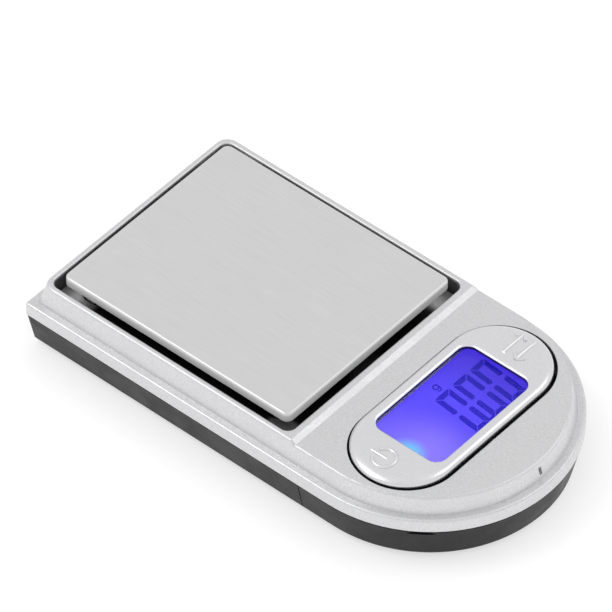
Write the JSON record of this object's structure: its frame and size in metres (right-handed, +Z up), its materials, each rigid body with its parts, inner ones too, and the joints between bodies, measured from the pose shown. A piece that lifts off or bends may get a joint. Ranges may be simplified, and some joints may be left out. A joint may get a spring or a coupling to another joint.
{
  "type": "pocket gram scale",
  "caption": "Pocket digital gram scale with a steel weighing pan, a rocking key around a blue backlit display and a sliding battery cover.",
  "frame": {"origin": "centre of the footprint on the surface the scale stands on", "axes": "+Y from the rounded front end towards the platform end, +X to the reader's right, +Z up"},
  "size_m": [0.04, 0.0714, 0.0121],
  "materials": {
    "silver_paint": "satin silver paint on moulded plastic",
    "key_silver": "bright satin silver paint",
    "black_plastic": "satin black moulding",
    "brushed_steel": "fine lengthwise brushing",
    "foam": "closed-cell foam tape",
    "beam_aluminium": "machined",
    "gauge_coat": "white silicone coat",
    "screw_steel": "plated",
    "foot_rubber": "matt",
    "dome_rubber": "silicone rubber",
    "zebra_rubber": "layered silicone strip",
    "board_green": "solder mask",
    "resin_black": "epoxy resin",
    "lcd_blue": "backlit blue-violet display",
    "frame_white": "moulded",
    "guide_clear": "frosted acrylic",
    "led_white": "diffused",
    "window_clear": "clear acrylic",
    "cell_steel": "nickel plated",
    "contact_metal": "spring strip",
    "wire_red": "insulation",
    "wire_black": "insulation",
    "wire_green": "insulation",
    "wire_white": "insulation"
  },
  "bodies": {
    "case": {"upper_case": "silver_paint", "base_case": "black_plastic", "rubber_foot_1": "foot_rubber", "rubber_foot_2": "foot_rubber", "load_cell": "beam_aluminium", "gauge_top": "gauge_coat", "gauge_bottom": "gauge_coat", "cell_screw_1": "screw_steel", "cell_screw_2": "screw_steel", "case_screw_1": "screw_steel", "case_screw_2": "screw_steel", "case_screw_3": "screw_steel", "case_screw_4": "screw_steel", "board_screw_1": "screw_steel", "board_screw_2": "screw_steel", "circuit_board": "board_green", "chip_blob": "resin_black", "amplifier_chip": "resin_black", "key_dome_left": "dome_rubber", "key_dome_right": "dome_rubber", "lcd_glass": "lcd_blue", "lcd_frame": "frame_white", "zebra_strip_1": "zebra_rubber", "zebra_strip_2": "zebra_rubber", "light_guide": "guide_clear", "backlight_led": "led_white", "coin_cell": "cell_steel", "coin_holder": "black_plastic", "contact_side": "contact_metal", "contact_leaf": "contact_metal", "cell_wire_1": "wire_red", "cell_wire_2": "wire_black", "cell_wire_3": "wire_green", "cell_wire_4": "wire_white"},
    "platform": {"weighing_pan": "brushed_steel", "pan_tape": "foam", "pan_carrier": "black_plastic", "carrier_screw_1": "screw_steel", "carrier_screw_2": "screw_steel"},
    "key": {"rocker_key": "key_silver", "display_window": "window_clear"},
    "cover": {"battery_cover": "black_plastic", "rubber_foot_3": "foot_rubber", "rubber_foot_4": "foot_rubber"}
  },
  "joints": [
    {"name": "platform_press", "type": "slide", "parent": "case", "child": "platform", "axis": [0, 0, -1], "range_m": [0, 0.0003], "stiffness_N_per_m": 8000, "deforming": ["load_cell"]},
    {"name": "key_tilt", "type": "hinge", "parent": "case", "child": "key", "pos_m": [0, -0.0194, 0.00885], "axis": [0, 1, 0], "range_deg": [-1.3, 1.3], "stiffness_Nm_per_rad": 0.6, "deforming": ["key_dome_left", "key_dome_right"]},
    {"name": "cover_slide", "type": "slide", "parent": "case", "child": "cover", "axis": [0, -1, 0], "range_m": [0, 0.03]}
  ]
}
